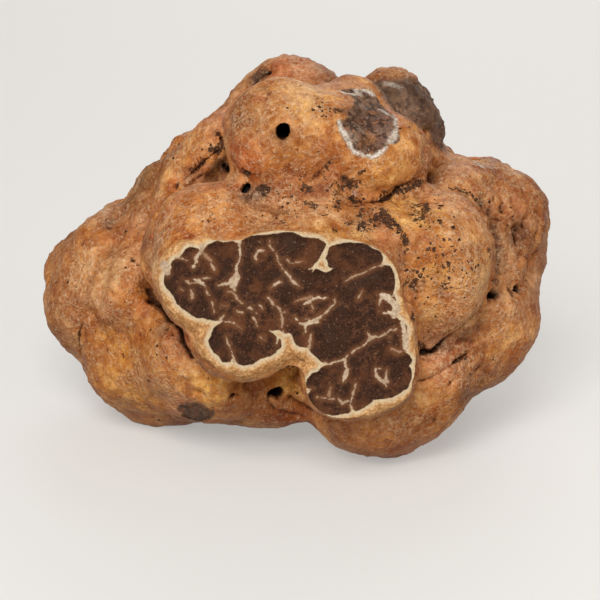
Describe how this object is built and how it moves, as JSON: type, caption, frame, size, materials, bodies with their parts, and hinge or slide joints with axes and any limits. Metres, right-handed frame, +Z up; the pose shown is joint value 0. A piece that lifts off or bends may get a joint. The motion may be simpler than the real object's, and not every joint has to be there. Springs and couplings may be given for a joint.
{
  "type": "bianchetto truffle",
  "caption": "Lumpy whitish truffle, grown in folded lobes, with one shaved face showing dark veined flesh.",
  "frame": {"origin": "middle of the bounding box, on the surface the truffle rests on", "axes": "+X along the longest extent, +Z up; the shaved face looks towards -Y and 15 degrees up"},
  "size_m": [0.0464, 0.0382, 0.0339],
  "materials": {
    "truffle_skin": "matte"
  },
  "bodies": {
    "root": {"truffle": "truffle_skin"}
  },
  "joints": []
}
